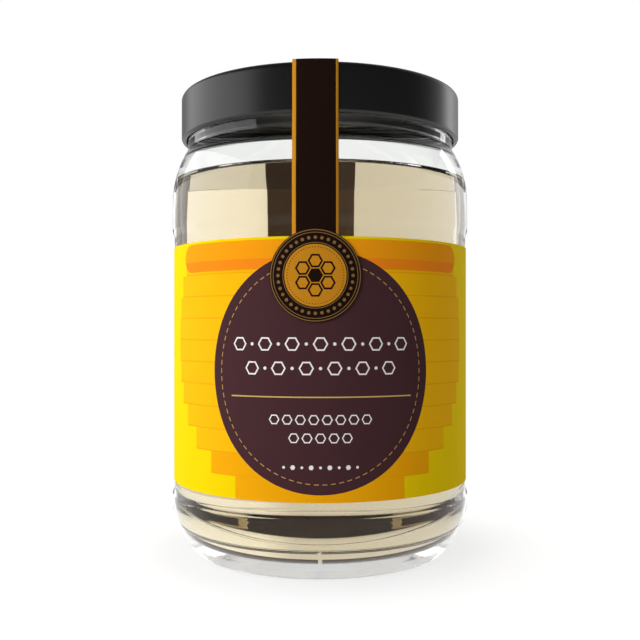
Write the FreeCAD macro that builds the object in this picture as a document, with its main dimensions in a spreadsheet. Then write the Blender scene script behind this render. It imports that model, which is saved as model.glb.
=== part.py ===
"""Honey jar with a screw cap, its honey, a wrap label, a seal strip over the cap and a round seal.

FreeCAD macro, millimetres.  The jar's axis is Z, its foot stands on Z = 0 and its front faces -Y.
Every size is a cell of the sheet "Sizes"; heights above the foot are sums of those cells.
"""
import FreeCAD
import Part
import Sketcher

import math
import os

SIZES = {
    # glass body
    "bulge_radius": 33.5,      # widest glass, at the bead and under the shoulder
    "panel_depth": 0.45,       # how far the label panel lies back from the bulge
    "wall": 1.6,               # glass at the sides and shoulder
    "base_thickness": 2.8,     # glass under the honey
    "heel_height": 11.8,       # where the heel's rounding starts
    "heel_rounding": 12.6,
    "heel_slope": 32.0,        # degrees of the heel's cone from upright
    "toe_rounding": 3.9,       # rounding from the heel's cone to the foot
    "floor_rounding": 2.6,     # rounding inside, at the floor
    "foot_width": 6.2,         # flat ring that the jar stands on
    "punt_rise": 1.4,          # height of the hollow inside that ring
    "bead_top": 13.5,          # top of the bead under the label panel
    "lower_step": 1.0,         # height of the step from bead to panel
    "panel_height": 55.7,
    "upper_step": 1.7,         # height of the step from panel to bulge
    "band_height": 6.1,        # upright glass between the upper step and the shoulder
    "shoulder_rounding": 22.5,
    # neck and mouth
    "neck_inset": 3.4,         # how far the neck lies inside the bulge
    "neck_height": 3.3,        # upright neck between the shoulder and the finish
    "finish_step": 1.2,        # how far the finish lies back from the neck
    "finish_height": 7.7,      # from the neck up to the rim
    "finish_wall": 2.4,
    "rim_rounding": 0.9,
    # honey
    "headspace": 18.3,         # air between the honey and the rim
    # cap
    "cap_clearance": 0.3,      # between the neck and the skirt
    "cap_wall": 1.1,
    "cap_plate": 1.4,
    "cap_height": 10.2,
    "cap_top_rounding": 1.2,
    "cap_foot_rounding": 0.8,
    # label
    "label_thickness": 0.15,
    "label_margin_low": 2.0,   # bare panel under the label
    "label_margin_high": 2.3,  # bare panel over the label
    "label_gap": 1.5,          # between the label's two ends, at the back
    # strip over the cap
    "strip_width": 9.0,
    "strip_offset": -0.9,      # its middle line from the jar's axis
    "strip_thickness": 0.25,
    "strip_tuck": 3.0,         # how far its ends reach past the seal's middle
    # seal
    "seal_radius": 9.0,
    "seal_drop": 7.6,          # its middle below the label's top edge
    "seal_thickness": 0.2,
}

# heights above the foot, each a sum of cells
PANEL_LOW = "(Sizes.bead_top + Sizes.lower_step)"
PANEL_HIGH = f"({PANEL_LOW} + Sizes.panel_height)"
BAND_LOW = f"({PANEL_HIGH} + Sizes.upper_step)"
SHOULDER = f"({BAND_LOW} + Sizes.band_height)"
SHOULDER_DROP = "(Sizes.shoulder_rounding - Sizes.neck_inset)"
NECK_LOW = f"({SHOULDER} + sqrt(Sizes.shoulder_rounding ^ 2 - {SHOULDER_DROP} ^ 2))"
NECK_TOP = f"({NECK_LOW} + Sizes.neck_height)"
RIM = f"({NECK_TOP} + Sizes.finish_height)"
FILL = f"({RIM} - Sizes.headspace)"
CAP_TOP = f"({RIM} + Sizes.cap_plate)"
CAP_LOW = f"({CAP_TOP} - Sizes.cap_height)"
LABEL_LOW = f"({PANEL_LOW} + Sizes.label_margin_low)"
LABEL_HIGH = f"({PANEL_HIGH} - Sizes.label_margin_high)"
SEAL_MIDDLE = f"({LABEL_HIGH} - Sizes.seal_drop)"

# radii, each from the piece that it fits
NECK_RADIUS = "(Sizes.bulge_radius - Sizes.neck_inset)"
PANEL_RADIUS = "(Sizes.bulge_radius - Sizes.panel_depth)"
HEEL_MIDDLE = "(Sizes.bulge_radius - Sizes.heel_rounding)"
SHOULDER_MIDDLE = "(Sizes.bulge_radius - Sizes.shoulder_rounding)"
FINISH_RADIUS = f"({NECK_RADIUS} - Sizes.finish_step)"
MOUTH_RADIUS = f"({FINISH_RADIUS} - Sizes.finish_wall)"
CAP_INSIDE = f"({NECK_RADIUS} + Sizes.cap_clearance)"
CAP_RADIUS = f"({CAP_INSIDE} + Sizes.cap_wall)"
LABEL_RADIUS = f"({PANEL_RADIUS} + Sizes.label_thickness)"

doc = FreeCAD.newDocument("HoneyJar")


def fill_sheet():
    """Write the sizes into the sheet, one row each, with their names as aliases."""
    sheet = doc.addObject("Spreadsheet::Sheet", "Sizes")
    for row, (name, value) in enumerate(SIZES.items(), start=1):
        sheet.set(f"A{row}", name)
        sheet.set(f"B{row}", str(value))
        sheet.setAlias(f"B{row}", name)
    doc.recompute()
    return sheet


class Outline:
    """A closed sketch outline, traced counter-clockwise, whose points are held by sheet formulas."""

    def __init__(self, body, name, across, up):
        self.sketch = body.newObject("Sketcher::SketchObject", name)
        plane = next(item for item in body.Origin.OriginFeatures if item.Role == "XZ_Plane")
        self.sketch.AttachmentSupport = [(plane, "")]
        self.sketch.MapMode = "FlatFace"
        self.start = (across, up)
        self.here = self.place(across, up)
        self.ends = []

    def place(self, across, up):
        """Return the point that two formulas give now."""
        values = [float(self.sketch.evalExpression(formula)) for formula in (across, up)]
        return FreeCAD.Vector(values[0], values[1], 0)

    def hold(self, kind, geometry, end, formula):
        """Hold one coordinate of a point: on the axis if it is 0, and by its formula otherwise."""
        if formula == "0":
            axis = -2 if kind == "DistanceX" else -1
            self.sketch.addConstraint(Sketcher.Constraint("PointOnObject", geometry, end, axis))
            return
        value = float(self.sketch.evalExpression(formula))
        index = self.sketch.addConstraint(Sketcher.Constraint(kind, -1, 1, geometry, end, value))
        self.sketch.setExpression(f"Constraints[{index}]", formula)

    def join(self, geometry, first, last):
        """Tie a new edge to the one before it and remember where it ends."""
        if self.ends:
            before, _, before_end = self.ends[-1]
            self.sketch.addConstraint(
                Sketcher.Constraint("Coincident", before, before_end, geometry, first))
        else:
            self.hold("DistanceX", geometry, first, self.start[0])
            self.hold("DistanceY", geometry, first, self.start[1])
        self.ends.append((geometry, first, last))

    def line(self, across, up):
        """Draw a straight edge to a point."""
        there = self.place(across, up)
        geometry = self.sketch.addGeometry(Part.LineSegment(self.here, there), False)
        self.join(geometry, 1, 2)
        if (across, up) != self.start:
            self.hold("DistanceX", geometry, 2, across)
            self.hold("DistanceY", geometry, 2, up)
        self.here = there
        return self

    def arc(self, across, up, middle_across, middle_up, turn=1):
        """Draw an arc to a point about a middle: turn is 1 for counter-clockwise and -1 for clockwise."""
        there = self.place(across, up)
        middle = self.place(middle_across, middle_up)
        angles = [math.atan2(point.y - middle.y, point.x - middle.x) for point in (self.here, there)]
        circle = Part.Circle(middle, FreeCAD.Vector(0, 0, 1), (there - middle).Length)
        low, high = angles if turn > 0 else reversed(angles)
        geometry = self.sketch.addGeometry(Part.ArcOfCircle(circle, low, high), False)
        first, last = (1, 2) if turn > 0 else (2, 1)
        self.join(geometry, first, last)
        self.hold("DistanceX", geometry, 3, middle_across)
        self.hold("DistanceY", geometry, 3, middle_up)
        if abs(math.cos(angles[1])) > abs(math.sin(angles[1])):
            self.hold("DistanceY", geometry, last, up)
        else:
            self.hold("DistanceX", geometry, last, across)
        self.here = there
        return self

    def close(self):
        """Tie the last edge to the first and return the sketch."""
        geometry, _, last = self.ends[-1]
        first_geometry, first, _ = self.ends[0]
        self.sketch.addConstraint(
            Sketcher.Constraint("Coincident", geometry, last, first_geometry, first))
        return self.sketch


def heel_points(floor, inset, toe_rounding):
    """Return the points of floor edge, toe, cone and heel; inset is how far they lie inside the glass."""
    cos, sin, tan = (f"{name}(Sizes.heel_slope * 1 deg)" for name in ("cos", "sin", "tan"))
    rounding = f"(Sizes.heel_rounding - {inset})"
    top_across = f"({HEEL_MIDDLE} + {rounding} * {cos})"
    top_up = f"(Sizes.heel_height - {rounding} * {sin})"
    low_up = f"({floor} + {toe_rounding} * (1 - {sin}))"
    low_across = f"({top_across} - ({top_up} - {low_up}) * {tan})"
    toe_across = f"({low_across} - {toe_rounding} * {cos})"
    return toe_across, (low_across, low_up), (top_across, top_up)


def trace_heel(outline, floor, inset, toe_rounding):
    """Trace the floor's outer edge, the toe, the cone and the heel up to the side."""
    toe_across, cone_low, cone_top = heel_points(floor, inset, toe_rounding)
    outline.line(toe_across, floor)
    outline.arc(*cone_low, toe_across, f"({floor} + {toe_rounding})")
    outline.line(*cone_top)
    outline.arc(f"(Sizes.bulge_radius - {inset})", "Sizes.heel_height", HEEL_MIDDLE, "Sizes.heel_height")


def revolve(body, sketch):
    """Turn a sketch once round the Z axis."""
    feature = body.newObject("PartDesign::Revolution", f"{body.Name}Turned")
    feature.Profile = sketch
    feature.ReferenceAxis = (sketch, ["V_Axis"])
    feature.Angle = 360.0
    body.Tip = feature
    return feature


def make_glass_form():
    """Return the jar's outer form as one solid body, up to its rim."""
    body = doc.addObject("PartDesign::Body", "GlassForm")
    toe_across = heel_points("0", "0", "Sizes.toe_rounding")[0]
    punt_radius = f"({toe_across} - Sizes.foot_width)"
    punt_middle = f"((Sizes.punt_rise ^ 2 - {punt_radius} ^ 2) / (2 * Sizes.punt_rise))"
    outline = Outline(body, "GlassOutline", "0", "Sizes.punt_rise")
    outline.arc(punt_radius, "0", "0", punt_middle, turn=-1)
    trace_heel(outline, "0", "0", "Sizes.toe_rounding")
    outline.line("Sizes.bulge_radius", "Sizes.bead_top")
    outline.line(PANEL_RADIUS, PANEL_LOW)
    outline.line(PANEL_RADIUS, PANEL_HIGH)
    outline.line("Sizes.bulge_radius", BAND_LOW)
    outline.line("Sizes.bulge_radius", SHOULDER)
    outline.arc(NECK_RADIUS, NECK_LOW, SHOULDER_MIDDLE, SHOULDER)
    outline.line(NECK_RADIUS, NECK_TOP)
    outline.line(FINISH_RADIUS, NECK_TOP)
    outline.line(FINISH_RADIUS, f"({RIM} - Sizes.rim_rounding)")
    outline.arc(f"({FINISH_RADIUS} - Sizes.rim_rounding)", RIM,
                f"({FINISH_RADIUS} - Sizes.rim_rounding)", f"({RIM} - Sizes.rim_rounding)")
    outline.line("0", RIM)
    outline.line("0", "Sizes.punt_rise")
    revolve(body, outline.close())
    return body


def make_cavity():
    """Return the jar's inside, from its floor to its rim, as one solid body."""
    body = doc.addObject("PartDesign::Body", "Cavity")
    side = "(Sizes.bulge_radius - Sizes.wall)"
    rounding = "(Sizes.shoulder_rounding - Sizes.wall)"
    mouth_low = f"({SHOULDER} + sqrt({rounding} ^ 2 - ({MOUTH_RADIUS} - {SHOULDER_MIDDLE}) ^ 2))"
    outline = Outline(body, "CavityOutline", "0", "Sizes.base_thickness")
    trace_heel(outline, "Sizes.base_thickness", "Sizes.wall", "Sizes.floor_rounding")
    outline.line(side, SHOULDER)
    outline.arc(MOUTH_RADIUS, mouth_low, SHOULDER_MIDDLE, SHOULDER)
    outline.line(MOUTH_RADIUS, RIM)
    outline.line("0", RIM)
    outline.line("0", "Sizes.base_thickness")
    revolve(body, outline.close())
    return body


def make_jar(form, cavity):
    """Return the glass jar: the outer form with the cavity taken out."""
    jar = doc.addObject("Part::Cut", "Jar")
    jar.Base = form
    jar.Tool = cavity
    jar.Label = "jar"
    return jar


def make_honey(cavity):
    """Return the honey: all of the cavity below the fill height."""
    level = doc.addObject("Part::Cylinder", "HoneyLevel")
    level.setExpression("Radius", "Sizes.bulge_radius")
    level.setExpression("Height", FILL)
    honey = doc.addObject("Part::Common", "Honey")
    honey.Base = cavity
    honey.Tool = level
    honey.Label = "honey"
    return honey


def make_cap():
    """Return the screw cap: a plate that rests on the rim, with a skirt round the neck."""
    body = doc.addObject("PartDesign::Body", "Cap")
    body.Label = "cap"
    foot_across = f"({CAP_RADIUS} - Sizes.cap_foot_rounding)"
    foot_up = f"({CAP_LOW} + Sizes.cap_foot_rounding)"
    top_across = f"({CAP_RADIUS} - Sizes.cap_top_rounding)"
    top_up = f"({CAP_TOP} - Sizes.cap_top_rounding)"
    outline = Outline(body, "CapOutline", "0", RIM)
    outline.line(CAP_INSIDE, RIM)
    outline.line(CAP_INSIDE, CAP_LOW)
    outline.line(foot_across, CAP_LOW)
    outline.arc(CAP_RADIUS, foot_up, foot_across, foot_up)
    outline.line(CAP_RADIUS, top_up)
    outline.arc(top_across, CAP_TOP, top_across, top_up)
    outline.line("0", CAP_TOP)
    outline.line("0", RIM)
    revolve(body, outline.close())
    return body


def make_label():
    """Return the wrap label: a thin sleeve on the panel, open by the gap at the back."""
    body = doc.addObject("PartDesign::Body", "Label")
    body.Label = "label"
    outline = Outline(body, "LabelOutline", PANEL_RADIUS, LABEL_LOW)
    outline.line(LABEL_RADIUS, LABEL_LOW)
    outline.line(LABEL_RADIUS, LABEL_HIGH)
    outline.line(PANEL_RADIUS, LABEL_HIGH)
    outline.line(PANEL_RADIUS, LABEL_LOW)
    sleeve = revolve(body, outline.close())
    sleeve.Midplane = True
    sleeve.setExpression("Angle", f"360 - Sizes.label_gap / {LABEL_RADIUS} * 180 / pi")
    # the sketch lies on +X, so a quarter turn brings its middle to the front
    body.Placement = FreeCAD.Placement(FreeCAD.Vector(), FreeCAD.Rotation(FreeCAD.Vector(0, 0, 1), -90))
    return body


def bridge_point(offset):
    """Return formulas for where the strip leaves the shoulder, straight for the skirt's foot."""
    rounding = f"(Sizes.shoulder_rounding + {offset})"
    away = f"({CAP_RADIUS} + {offset} - {SHOULDER_MIDDLE})"
    rise = f"({CAP_LOW} + Sizes.cap_foot_rounding - {SHOULDER})"
    reach = f"sqrt({away} ^ 2 + {rise} ^ 2)"
    angle = f"(atan2({rise}; {away}) - acos({rounding} / {reach}))"
    return f"({SHOULDER_MIDDLE} + {rounding} * cos({angle}))", f"({SHOULDER} + {rounding} * sin({angle}))"


def make_strip():
    """Return the strip: from the label up over the cap's top and down the back, one thin ribbon."""
    body = doc.addObject("PartDesign::Body", "Strip")
    body.Label = "strip"
    thick = "Sizes.strip_thickness"
    low = f"({SEAL_MIDDLE} - Sizes.strip_tuck)"
    skirt_foot = f"({CAP_LOW} + Sizes.cap_foot_rounding)"
    corner_across = f"({CAP_RADIUS} - Sizes.cap_top_rounding)"
    corner_up = f"({CAP_TOP} - Sizes.cap_top_rounding)"
    outer_leave = bridge_point(thick)
    inner_leave = bridge_point("0")
    outline = Outline(body, "StripOutline", LABEL_RADIUS, low)
    # the outer side, upwards
    outline.line(f"({LABEL_RADIUS} + {thick})", low)
    outline.line(f"({LABEL_RADIUS} + {thick})", LABEL_HIGH)
    outline.line(f"(Sizes.bulge_radius + {thick})", BAND_LOW)
    outline.line(f"(Sizes.bulge_radius + {thick})", SHOULDER)
    outline.arc(*outer_leave, SHOULDER_MIDDLE, SHOULDER)
    outline.line(f"({CAP_RADIUS} + {thick})", skirt_foot)
    outline.line(f"({CAP_RADIUS} + {thick})", corner_up)
    outline.arc(corner_across, f"({CAP_TOP} + {thick})", corner_across, corner_up)
    outline.line("0", f"({CAP_TOP} + {thick})")
    # the inner side, back down
    outline.line("0", CAP_TOP)
    outline.line(corner_across, CAP_TOP)
    outline.arc(CAP_RADIUS, corner_up, corner_across, corner_up, turn=-1)
    outline.line(CAP_RADIUS, skirt_foot)
    outline.line(*inner_leave)
    outline.arc("Sizes.bulge_radius", SHOULDER, SHOULDER_MIDDLE, SHOULDER, turn=-1)
    outline.line("Sizes.bulge_radius", BAND_LOW)
    outline.line(LABEL_RADIUS, LABEL_HIGH)
    outline.line(LABEL_RADIUS, low)
    bell = revolve(body, outline.close())
    doc.recompute()
    trim = trim_sketch(body)
    cut = body.newObject("PartDesign::Pocket", "StripTrim")
    cut.Profile = trim
    cut.Type = "ThroughAll"
    cut.Midplane = True
    body.Tip = cut
    doc.recompute()
    if cut.Shape.Volume > 0.5 * bell.Shape.Volume:
        raise RuntimeError("the trim beside the strip cut nothing")
    return body


def trim_sketch(body):
    """Return the sketch of the two areas, one each side, that the strip leaves bare."""
    sketch = body.newObject("Sketcher::SketchObject", "StripTrimOutline")
    plane = next(item for item in body.Origin.OriginFeatures if item.Role == "XY_Plane")
    sketch.AttachmentSupport = [(plane, "")]
    sketch.MapMode = "FlatFace"
    reach = "(2 * Sizes.bulge_radius)"
    for sign, far in (("+", reach), ("-", f"(-{reach})")):
        near = f"(Sizes.strip_offset {sign} Sizes.strip_width / 2)"
        add_polygon(sketch, [(near, f"(-{reach})"), (far, f"(-{reach})"), (far, reach), (near, reach)])
    return sketch


def add_polygon(sketch, corners):
    """Add a closed polygon to a sketch, each corner held by two formulas."""
    values = [[float(sketch.evalExpression(formula)) for formula in corner] for corner in corners]
    points = [FreeCAD.Vector(across, along, 0) for across, along in values]
    edges = [sketch.addGeometry(Part.LineSegment(point, points[(index + 1) % len(points)]), False)
             for index, point in enumerate(points)]
    for index, edge in enumerate(edges):
        following = edges[(index + 1) % len(edges)]
        sketch.addConstraint(Sketcher.Constraint("Coincident", edge, 2, following, 1))
        for kind, formula, value in zip(("DistanceX", "DistanceY"), corners[index], values[index]):
            held = sketch.addConstraint(Sketcher.Constraint(kind, -1, 1, edge, 1, value))
            sketch.setExpression(f"Constraints[{held}]", formula)


def make_seal(strip):
    """Return the round seal: a disc bent round the label, hollowed behind for the strip's end."""
    disc = doc.addObject("Part::Cylinder", "SealDisc")
    disc.setExpression("Radius", "Sizes.seal_radius")
    disc.setExpression("Height", "2 * Sizes.bulge_radius")
    disc.Placement = FreeCAD.Placement(FreeCAD.Vector(), FreeCAD.Rotation(FreeCAD.Vector(1, 0, 0), 90))
    disc.setExpression("Placement.Base.x", "Sizes.strip_offset")
    disc.setExpression("Placement.Base.z", SEAL_MIDDLE)
    outside = doc.addObject("Part::Cylinder", "SealOutside")
    outside.setExpression("Radius", f"{LABEL_RADIUS} + Sizes.strip_thickness + Sizes.seal_thickness")
    outside.setExpression("Height", RIM)
    inside = doc.addObject("Part::Cylinder", "SealInside")
    inside.setExpression("Radius", LABEL_RADIUS)
    inside.setExpression("Height", RIM)
    shell = doc.addObject("Part::Cut", "SealShell")
    shell.Base = outside
    shell.Tool = inside
    round_piece = doc.addObject("Part::Common", "SealRound")
    round_piece.Base = shell
    round_piece.Tool = disc
    seal = doc.addObject("Part::Cut", "Seal")
    seal.Base = round_piece
    seal.Tool = strip
    seal.Label = "seal"
    return seal


def write_parts(parts):
    """Check every object and each piece's shape, then write one STEP file for each piece."""
    doc.recompute()
    for item in doc.Objects:
        if "Invalid" in item.State or "Error" in item.State:
            raise RuntimeError(f"{item.Name} failed: {item.State}")
    for part in parts:
        shape = part.Shape
        if shape.isNull() or not shape.isValid() or len(shape.Solids) != 1:
            raise RuntimeError(f"{part.Label} is not one valid solid")
    os.makedirs("parts", exist_ok=True)
    for part in parts:
        part.Shape.exportStep(f"parts/{part.Label}.step")
        box = part.Shape.BoundBox
        print(f"{part.Label}: {part.Shape.Volume / 1000:.3f} ml, Z {box.ZMin:.2f} to {box.ZMax:.2f}")


def main():
    """Build the document and write its pieces."""
    fill_sheet()
    form = make_glass_form()
    cavity = make_cavity()
    jar = make_jar(form, cavity)
    honey = make_honey(cavity)
    cap = make_cap()
    label = make_label()
    strip = make_strip()
    seal = make_seal(strip)
    write_parts([jar, honey, cap, label, strip, seal])


main()
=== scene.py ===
"""Honey jar: the looks of the glass, the honey, the screw cap, the wrap label, the seal strip and the seal.

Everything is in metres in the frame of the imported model: the jar's axis is Z and its front faces -Y.
"""
import logging
import math
from dataclasses import dataclass
from enum import Enum
from typing import Any, Iterable, Sequence

import bpy
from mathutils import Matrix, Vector
from mathutils.geometry import delaunay_2d_cdt


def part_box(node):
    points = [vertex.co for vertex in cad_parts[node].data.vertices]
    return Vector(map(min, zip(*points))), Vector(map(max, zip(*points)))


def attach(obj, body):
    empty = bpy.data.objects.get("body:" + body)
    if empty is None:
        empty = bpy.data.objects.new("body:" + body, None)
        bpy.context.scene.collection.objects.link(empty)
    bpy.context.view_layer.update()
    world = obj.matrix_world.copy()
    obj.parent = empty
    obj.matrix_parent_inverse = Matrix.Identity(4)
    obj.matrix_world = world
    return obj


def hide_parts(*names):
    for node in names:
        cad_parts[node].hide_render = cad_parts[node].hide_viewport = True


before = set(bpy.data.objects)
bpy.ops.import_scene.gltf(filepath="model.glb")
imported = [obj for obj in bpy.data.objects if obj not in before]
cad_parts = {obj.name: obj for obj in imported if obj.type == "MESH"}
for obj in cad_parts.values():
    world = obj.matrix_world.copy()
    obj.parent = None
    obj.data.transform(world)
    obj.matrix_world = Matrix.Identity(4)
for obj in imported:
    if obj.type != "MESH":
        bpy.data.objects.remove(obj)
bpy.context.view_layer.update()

MM = 0.001
BODY = "root"
LOG = logging.getLogger("honey_jar")

WHITE = (1.0, 1.0, 1.0, 1.0)

# A flat point, or the two ends of a range.
Flat = tuple[float, float]


# ------------------------------------------------------------------ small helpers


def linear(code: str, alpha: float = 1.0) -> tuple[float, float, float, float]:
    """Turn an sRGB hex colour into linear values.

    Args:
        code: The colour as "#rrggbb".
        alpha: The opacity to add.

    Returns:
        Linear red, green and blue, and the opacity.
    """
    parts = [int(code[place:place + 2], 16) / 255 for place in (1, 3, 5)]
    red, green, blue = (
        part / 12.92 if part <= 0.04045 else ((part + 0.055) / 1.055) ** 2.4 for part in parts)
    return red, green, blue, alpha


def add(tree: bpy.types.NodeTree, kind: str, inputs: dict[Any, Any] | None = None,
        **settings: Any) -> bpy.types.Node:
    """Add a node with its settings, and set or link its inputs.

    Args:
        tree: The tree that gets the node.
        kind: The node's type name.
        inputs: Input names or numbers with values; a socket is linked and anything else is set.
        **settings: Properties of the node.

    Returns:
        The new node.
    """
    node = tree.nodes.new(kind)
    for name, value in settings.items():
        setattr(node, name, value)
    for key, value in (inputs or {}).items():
        if isinstance(value, bpy.types.NodeSocket):
            tree.links.new(value, node.inputs[key])
        else:
            node.inputs[key].default_value = value
    return node


def calc(tree: bpy.types.NodeTree, operation: str, first: Any, second: Any = 0.0) -> bpy.types.NodeSocket:
    """Add a sum to a tree.

    Args:
        tree: The tree.
        operation: The kind of sum.
        first: Its first value or socket.
        second: Its second value or socket.

    Returns:
        The socket that holds the result.
    """
    return add(tree, "ShaderNodeMath", {0: first, 1: second}, operation=operation).outputs[0]


def ramp(tree: bpy.types.NodeTree, value: bpy.types.NodeSocket, reach: Flat,
         levels: Flat) -> bpy.types.NodeSocket:
    """Add a node that turns a range of a value into a range of levels, held at both ends.

    Args:
        tree: The tree.
        value: The value's socket.
        reach: Where the range starts and ends.
        levels: The levels at those two ends.

    Returns:
        The socket that holds the level.
    """
    return add(tree, "ShaderNodeMapRange", {
        "Value": value, "From Min": reach[0], "From Max": reach[1],
        "To Min": levels[0], "To Max": levels[1]}).outputs[0]


def link_object(name: str, mesh: bpy.types.Mesh) -> bpy.types.Object:
    """Put a mesh into the scene.

    Args:
        name: The object's name.
        mesh: Its mesh.

    Returns:
        The object, at the origin.
    """
    piece = bpy.data.objects.new(name, mesh)
    bpy.context.scene.collection.objects.link(piece)
    return piece


def mesh_from(name: str, points: Sequence[Sequence[float]], faces: Sequence[Sequence[int]],
              edges: Sequence[Sequence[int]] = ()) -> bpy.types.Mesh:
    """Make a mesh.

    Args:
        name: The mesh's name.
        points: Its points.
        faces: Its faces, as numbers of points.
        edges: Its loose edges, as numbers of points.

    Returns:
        The mesh.
    """
    mesh = bpy.data.meshes.new(name)
    mesh.from_pydata(*([tuple(item) for item in group] for group in (points, edges, faces)))
    mesh.update()
    return mesh


def declare(piece: bpy.types.Object, slot: str, node: str | None = None) -> None:
    """Fix a finished piece to the jar's body.

    Args:
        piece: The finished object.
        slot: The name of the material slot that it stands for; it is only logged.
        node: The CAD node that it stands for, if it does.
    """
    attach(piece, BODY)
    if node:
        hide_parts(node)
    LOG.info("%s: %d faces, slot %s", piece.name, len(piece.data.polygons), slot)


def bent(across: float, up: float, radius: float) -> tuple[float, float, float]:
    """Bend a point of a flat print round the jar.

    Args:
        across: The distance along the arc from the front, to the right.
        up: The height.
        radius: The radius of the surface that it lies on.

    Returns:
        The point in space.
    """
    turn = across / radius
    return radius * math.sin(turn), -radius * math.cos(turn), up


# ------------------------------------------------------------------ outlines


@dataclass(frozen=True)
class Corner:
    """A corner of a turned outline: radius from the axis, height, and how much it is rounded."""

    radius: float
    height: float
    rounding: float = 0.0


def rounded(corners: Sequence[Corner], turn_step: float = math.radians(4),
            run_step: float = 1.5 * MM) -> list[Flat]:
    """Trace an outline with its corners rounded and its straight runs divided.

    Args:
        corners: The corners in order; the first and last are ends.
        turn_step: The largest turn between two points of a rounding.
        run_step: The largest distance between two points of a straight run.

    Returns:
        Points as (radius, height).
    """
    places = [Vector((corner.radius, corner.height)) for corner in corners]
    points = [places[0]]
    for before, here, after, corner in zip(places, places[1:], places[2:], corners[1:]):
        back, ahead = (before - here).normalized(), (after - here).normalized()
        turn = math.pi - back.angle(ahead)
        if corner.rounding <= 0 or turn < 1e-4:
            points.append(here)
            continue
        reach = corner.rounding * math.tan(turn / 2)
        middle = here + (back + ahead).normalized() * (corner.rounding / math.cos(turn / 2))
        first, last = here + back * reach - middle, here + ahead * reach - middle
        side = 1 if first.cross(last) > 0 else -1
        steps = max(3, math.ceil(turn / turn_step))
        for step in range(steps + 1):
            angle = side * turn * step / steps
            cos, sin = math.cos(angle), math.sin(angle)
            points.append(middle + Vector((first.x * cos - first.y * sin, first.x * sin + first.y * cos)))
    points.append(places[-1])
    divided = [tuple(points[0])]
    for here, there in zip(points, points[1:]):
        parts = max(1, math.ceil((there - here).length / run_step))
        divided += [tuple(here.lerp(there, part / parts)) for part in range(1, parts + 1)]
    return divided


def clipped(outline: Sequence[Flat], height: float) -> list[Flat]:
    """Cut a rising outline off at a height.

    Args:
        outline: Points as (radius, height).
        height: Where to cut.

    Returns:
        The lower part, with a last point exactly at the height.
    """
    kept = []
    for here, there in zip(outline, outline[1:]):
        kept.append(here)
        if here[1] < height <= there[1]:
            share = (height - here[1]) / (there[1] - here[1])
            kept.append((here[0] + share * (there[0] - here[0]), height))
            break
    return kept


# ------------------------------------------------------------------ geometry trees


def new_tree(name: str, sizes: Iterable[tuple[str, str]]) -> bpy.types.GeometryNodeTree:
    """Start a geometry tree that takes a geometry and gives one.

    Args:
        name: The tree's name.
        sizes: The name and socket type of each further input.

    Returns:
        The tree, with its sockets and no nodes.
    """
    tree = bpy.data.node_groups.new(name, "GeometryNodeTree")
    tree.interface.new_socket("Geometry", in_out="INPUT", socket_type="NodeSocketGeometry")
    for socket, kind in sizes:
        tree.interface.new_socket(socket, in_out="INPUT", socket_type=kind)
    tree.interface.new_socket("Geometry", in_out="OUTPUT", socket_type="NodeSocketGeometry")
    return tree


def grown(name: str, start: bpy.types.Mesh, tree: bpy.types.GeometryNodeTree,
          values: dict[str, Any]) -> bpy.types.Object:
    """Run a geometry tree on a mesh and keep its result as a plain mesh.

    Args:
        name: The piece's name.
        start: The mesh that the tree starts from.
        tree: The tree.
        values: Its named inputs.

    Returns:
        A new object at the origin, without modifiers.
    """
    seed = link_object(f"{name}_start", start)
    modifier = seed.modifiers.new(tree.name, "NODES")
    modifier.node_group = tree
    sockets = {item.name: item.identifier for item in tree.interface.items_tree if item.in_out == "INPUT"}
    for socket, value in values.items():
        modifier[sockets[socket]] = value
    depsgraph = bpy.context.evaluated_depsgraph_get()
    mesh = bpy.data.meshes.new_from_object(
        seed.evaluated_get(depsgraph), preserve_all_data_layers=True, depsgraph=depsgraph)
    mesh.name = name
    # The start's own empty slot comes along, ahead of the piece's material.
    while mesh.materials and mesh.materials[0] is None:
        mesh.materials.pop(index=0)
    bpy.data.objects.remove(seed)
    return link_object(name, mesh)


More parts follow.
